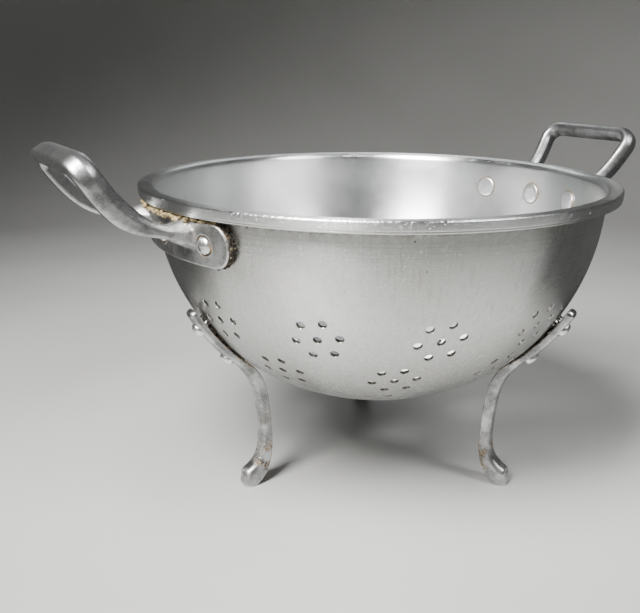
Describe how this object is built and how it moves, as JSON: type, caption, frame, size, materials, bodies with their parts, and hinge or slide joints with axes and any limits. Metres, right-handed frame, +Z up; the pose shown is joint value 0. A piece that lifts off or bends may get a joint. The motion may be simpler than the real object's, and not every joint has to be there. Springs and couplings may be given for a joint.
{
  "type": "footed colander",
  "caption": "Deep round aluminium colander with a rolled rim, groups of drain holes, riveted cast loop handles and splayed cast legs.",
  "frame": {"origin": "on the floor, on the bowl's vertical axis", "axes": "+Z up through the bowl's mouth, X along the line through both handles, with the leg that stands under a handle on the -X side"},
  "size_m": [0.4125, 0.304, 0.2243],
  "materials": {
    "spun_aluminium": "satin, finely brushed round the bowl, worn and scratched",
    "cast_aluminium": "tumbled cast, dull, with brown stains in the corners",
    "rivet_aluminium": "satin"
  },
  "bodies": {
    "root": {"bowl": "spun_aluminium", "handle_left": "cast_aluminium", "handle_right": "cast_aluminium", "leg_left": "cast_aluminium", "leg_right": "cast_aluminium", "leg_rear": "cast_aluminium", "handle_rivet_left_front": "rivet_aluminium", "handle_rivet_left_middle": "rivet_aluminium", "handle_rivet_left_back": "rivet_aluminium", "handle_rivet_right_front": "rivet_aluminium", "handle_rivet_right_middle": "rivet_aluminium", "handle_rivet_right_back": "rivet_aluminium", "leg_rivet_left_upper": "rivet_aluminium", "leg_rivet_left_lower": "rivet_aluminium", "leg_rivet_right_upper": "rivet_aluminium", "leg_rivet_right_lower": "rivet_aluminium", "leg_rivet_rear_upper": "rivet_aluminium", "leg_rivet_rear_lower": "rivet_aluminium"}
  },
  "joints": []
}
